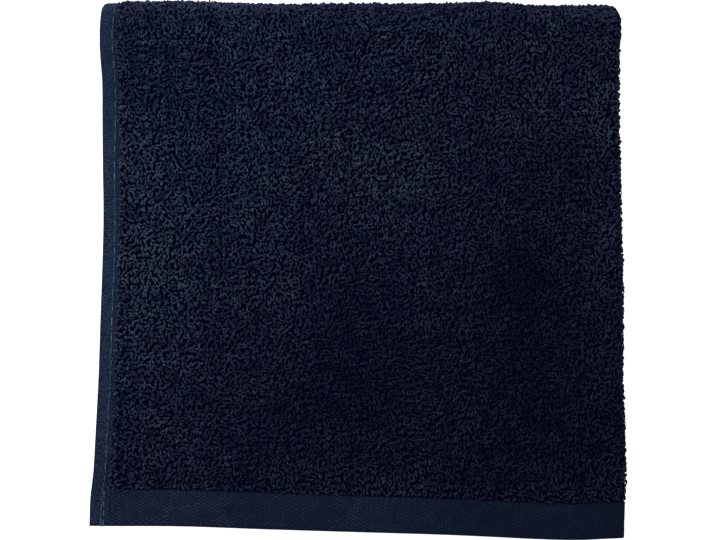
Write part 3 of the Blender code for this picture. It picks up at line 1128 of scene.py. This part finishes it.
def pile_object(name, random, s, t, field, context, material):
    """The loops that stand at places s, t of the cloth's face."""
    cloth, pile = context.scene.towel_cloth, context.scene.towel_pile
    over_hem = soft_step((CORNER_WIDTH - s) / CORNER_SOFT) * soft_step(1 - (t - END_HEM) / CORNER_WIDTH)
    t = t - CORNER_REACH * over_hem
    clump, clump_s, clump_t = ripples(s, t, pile.clump, pile.seed)
    reach = pile.gather * pile.clump / math.tau
    s, t = s + reach * clump_s, t + reach * clump_t
    point, across, along, out = cloth_frame(s, t)
    swirl = ripples(s, t, NAP_SWIRL, pile.seed + SWIRL_SEED)[0]
    heading = LENGTHWISE + SWIRL_TURN * swirl + random.normal(0, HEADING_SPREAD, len(s))
    frames = (point + out * cloth.ground / 2, *turned(across, along, heading), out)
    places = random.integers(0, len(LOOP_SHAPES), len(s))
    # Painted light and shade at the loops' places
    painted_shading = 0 if field.under else swelling(PAINTED_SHADING, point[:, 0], point[:, 1])
    size = random.uniform(*LOOP_SIZES, len(s))
    tufts = [ripples(s, t, tuft.period, pile.seed + TUFT_SEED + k)[0] for k, tuft in enumerate(TUFTS)]
    taller = sum(tuft.height * tufted for tuft, tufted in zip(TUFTS, tufts))
    paler = sum(tuft.shade * tufted for tuft, tufted in zip(TUFTS, tufts))
    lift = NAP_HEIGHT * painted_shading + taller + CLUMP_LIFT * clump + random.normal(0, LIFT_SPREAD, len(s))
    tall = 1 if field.under else field.loft * (1 + lift)
    scale = np.stack([size, size, size * tall], -1)
    yarn = pile.yarn * (FLAT_LOOP_YARN if field.under else 1)
    from_seam = np.minimum(s, CLOTH_WIDTH - s) - SIDE_HEM
    beside_seam = BESIDE_SEAM * soft_step(1 - from_seam / BESIDE_SEAM_REACH)
    # The loops' tone carries the painted light and shade, on top of their random tone
    shade = (1 + painted_shading + beside_seam) * (1 + paler) * (1 + CLUMP_SHADE * clump)
    shade *= np.clip(random.lognormal(0, TONE_SPREAD, len(s)), *TONE_LIMITS)
    piece = loops_object(name, places, frames, LOOP_SHAPES, field.knots, field.sides, yarn, scale, shade)
    finish_piece(piece, material)


class TOWEL_OT_pile(bpy.types.Operator):
    """Stands the loops of the pile on the faces of the cloth that show"""

    bl_idname = "towel.pile"
    bl_label = "Loop pile"

    def execute(self, context):
        pile = context.scene.towel_pile
        material = loop_material(context.scene.towel_colours)
        random = np.random.default_rng(pile.seed)
        begins = {stretch.name: (stretch, begin) for stretch, begin in stretches()}
        for field in PILE_FIELDS:
            stretch, begin = begins[field.stretch]
            end = begin + stretch.length
            pitch = pile.under_pitch if field.under else pile.pitch
            bulge = (stretch.radius + PLY_PITCH) / stretch.radius if stretch.radius else 1
            edges = np.linspace(PILE_START, TURN_START, field.bands + 1)
            for band in range(field.bands):
                s, t = scattered(random, *edges[band:band + 2], begin, end, pitch, pitch / bulge)
                name = field.name if field.bands == 1 else f"{field.name}_{band + 1}"
                pile_object(name, random, s, t, field, context, material)
        half_turn = CLOTH_MIDDLE - TURN_START
        s, t = scattered(
            random, CLOTH_MIDDLE - half_turn, CLOTH_MIDDLE + half_turn + UNDER_THE_FOLD,
            END_HEM, CLOTH_LENGTH - END_HEM, pile.pitch / SIDE_FOLD_PACKING, pile.pitch,
        )
        pile_object(SIDE_FOLD.name, random, s, t, SIDE_FOLD, context, material)
        return {"FINISHED"}


# ---- the stage

# The floor, the key light behind the towel on the left, and how far the camera sees
WHITE = (1.0, 1.0, 1.0, 1.0)
FLOOR_SIZE = 6.0
FLOOR_ROUGHNESS = 0.8
KEY_PLACE = (-0.36, 0.26, 0.42)
KEY_SIZE = 0.4
CLIP_END = 10.0


def add_key_light(power, aim):
    light = bpy.data.lights.new("key", "AREA")
    light.energy = power
    light.size = KEY_SIZE
    lamp = bpy.data.objects.new("key", light)
    lamp.location = KEY_PLACE
    lamp.rotation_euler = (Vector(aim) - Vector(KEY_PLACE)).to_track_quat("-Z", "Y").to_euler()
    bpy.context.scene.collection.objects.link(lamp)


class TOWEL_OT_stage(bpy.types.Operator):
    """Adds the floor, the lights and the camera straight above"""

    bl_idname = "towel.stage"
    bl_label = "Stage"

    def execute(self, context):
        stage = context.scene.towel_stage
        bpy.ops.mesh.primitive_plane_add(size=FLOOR_SIZE, location=(0.0, 0.0, 0.0))
        floor = context.object
        floor.name = "floor"
        material = bpy.data.materials.new("pale_floor")
        material.use_nodes = True
        shader = material.node_tree.nodes["Principled BSDF"]
        feed(shader, {"Base Color": opaque(stage.floor), "Roughness": FLOOR_ROUGHNESS})
        feed(shader, {"Emission Color": WHITE, "Emission Strength": stage.floor_glow})
        floor.data.materials.append(material)
        top = max(corner[2] for corner in CAD_BOX)
        add_key_light(stage.key_power, (0.0, 0.0, top))
        world = bpy.data.worlds.new("studio")
        world.use_nodes = True
        feed(world.node_tree.nodes["Background"], {"Color": WHITE, "Strength": stage.fill})
        context.scene.world = world
        context.scene.view_settings.view_transform = "Standard"
        lens = bpy.data.cameras.new("camera")
        lens.lens = stage.lens
        lens.clip_end = CLIP_END
        camera = bpy.data.objects.new("camera", lens)
        camera.location = (0.0, 0.0, top + stage.camera_height)
        context.scene.collection.objects.link(camera)
        context.scene.camera = camera
        return {"FINISHED"}


class TOWEL_PT_panel(bpy.types.Panel):
    """Lists the towel's steps and sizes"""

    bl_idname = "TOWEL_PT_panel"
    bl_label = "Folded towel"
    bl_space_type = "VIEW_3D"
    bl_region_type = "UI"
    bl_category = "Towel"

    def draw(self, context):
        for step in STEPS:
            self.layout.operator(step.bl_idname)
        for name in SETTINGS:
            group = getattr(context.scene, name)
            box = self.layout.box()
            for key in group.bl_rna.properties.keys():
                if key not in ("rna_type", "name"):
                    box.prop(group, key)


STEPS = (
    TOWEL_OT_ground_cloth,
    TOWEL_OT_hem_weave,
    TOWEL_OT_hem_stitches,
    TOWEL_OT_pile,
    TOWEL_OT_stage,
)
SETTINGS = {
    "towel_cloth": TowelClothSettings,
    "towel_pile": TowelPileSettings,
    "towel_colours": TowelColourSettings,
    "towel_stage": TowelStageSettings,
}
KINDS = (*SETTINGS.values(), *STEPS, TOWEL_PT_panel)


def register():
    for kind in KINDS:
        bpy.utils.register_class(kind)
    for name, group in SETTINGS.items():
        setattr(bpy.types.Scene, name, bpy.props.PointerProperty(type=group))


def unregister():
    for name in SETTINGS:
        delattr(bpy.types.Scene, name)
    for kind in reversed(KINDS):
        bpy.utils.unregister_class(kind)


def declare_sheet():
    """Looks up the ground cloth, and does nothing more with it."""
    sheet = bpy.data.objects["ground_cloth"]


def main():
    register()
    bpy.ops.towel.ground_cloth()
    bpy.ops.towel.hem_weave()
    bpy.ops.towel.hem_stitches()
    bpy.ops.towel.pile()
    bpy.ops.towel.stage()
    declare_sheet()


if __name__ == "__main__":
    main()
